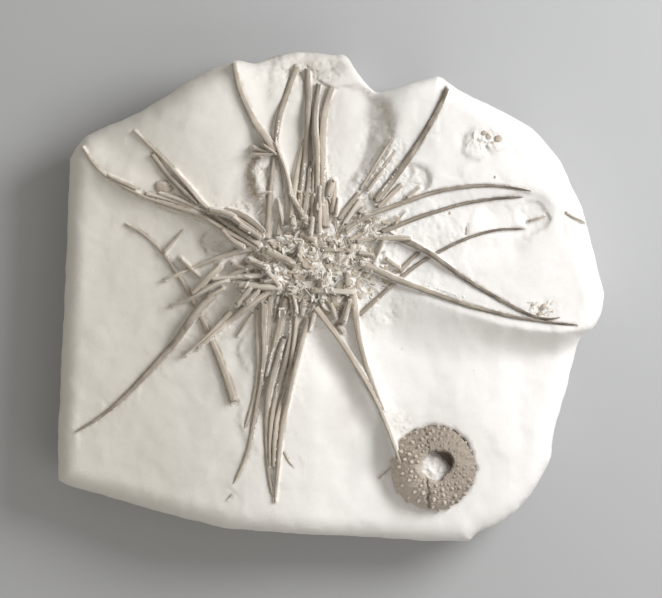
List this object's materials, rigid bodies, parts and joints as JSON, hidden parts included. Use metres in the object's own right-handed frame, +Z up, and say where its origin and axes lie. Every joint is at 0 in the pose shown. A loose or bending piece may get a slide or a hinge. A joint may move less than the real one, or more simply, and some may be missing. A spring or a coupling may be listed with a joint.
{
  "type": "fossil sea urchin",
  "caption": "Slab of white chalk with a crushed fossil sea urchin whose long spines radiate from it, and a small whole urchin test beside it.",
  "frame": {"origin": "middle of the block's outline, on its flat underside", "axes": "+X along the block's longer side, +Y across it towards its notched edge, +Z up out of the face that carries the fossils"},
  "size_m": [0.256, 0.23, 0.0539],
  "materials": {
    "chalk": "dry, scraped white chalk",
    "spine_calcite": "fine-grained grey-brown fossil calcite, dull to satin",
    "crushed_plates": "broken plates and crumbs dusted with chalk",
    "test_calcite": "grainy dark grey-brown fossil shell"
  },
  "bodies": {
    "root": {"chalk_block": "chalk", "crushed_test": "crushed_plates", "sea_urchin_test": "test_calcite", "spine_centre_1": "spine_calcite", "spine_centre_2": "spine_calcite", "spine_centre_3": "spine_calcite", "spine_east_1": "spine_calcite", "spine_east_2": "spine_calcite", "spine_east_3": "spine_calcite", "spine_east_4": "spine_calcite", "spine_east_5": "spine_calcite", "spine_east_6": "spine_calcite", "spine_north_1": "spine_calcite", "spine_north_10": "spine_calcite", "spine_north_11": "spine_calcite", "spine_north_12": "spine_calcite", "spine_north_2": "spine_calcite", "spine_north_3": "spine_calcite", "spine_north_4": "spine_calcite", "spine_north_5": "spine_calcite", "spine_north_6": "spine_calcite", "spine_north_7": "spine_calcite", "spine_north_8": "spine_calcite", "spine_north_9": "spine_calcite", "spine_north_east_1": "spine_calcite", "spine_north_east_2": "spine_calcite", "spine_north_east_3": "spine_calcite", "spine_north_east_4": "spine_calcite", "spine_north_east_5": "spine_calcite", "spine_north_east_6": "spine_calcite", "spine_north_west_1": "spine_calcite", "spine_north_west_2": "spine_calcite", "spine_north_west_3": "spine_calcite", "spine_north_west_4": "spine_calcite", "spine_north_west_5": "spine_calcite", "spine_north_west_6": "spine_calcite", "spine_north_west_7": "spine_calcite", "spine_north_west_8": "spine_calcite", "spine_north_west_9": "spine_calcite", "spine_south_1": "spine_calcite", "spine_south_2": "spine_calcite", "spine_south_3": "spine_calcite", "spine_south_4": "spine_calcite", "spine_south_5": "spine_calcite", "spine_south_6": "spine_calcite", "spine_south_7": "spine_calcite", "spine_south_8": "spine_calcite", "spine_south_9": "spine_calcite", "spine_south_east_1": "spine_calcite", "spine_south_east_2": "spine_calcite", "spine_south_west_1": "spine_calcite", "spine_south_west_2": "spine_calcite", "spine_south_west_3": "spine_calcite", "spine_west_1": "spine_calcite", "spine_west_2": "spine_calcite", "spine_west_3": "spine_calcite", "spine_west_4": "spine_calcite", "spine_west_5": "spine_calcite", "spine_west_6": "spine_calcite", "spine_west_stray": "spine_calcite"}
  },
  "joints": []
}
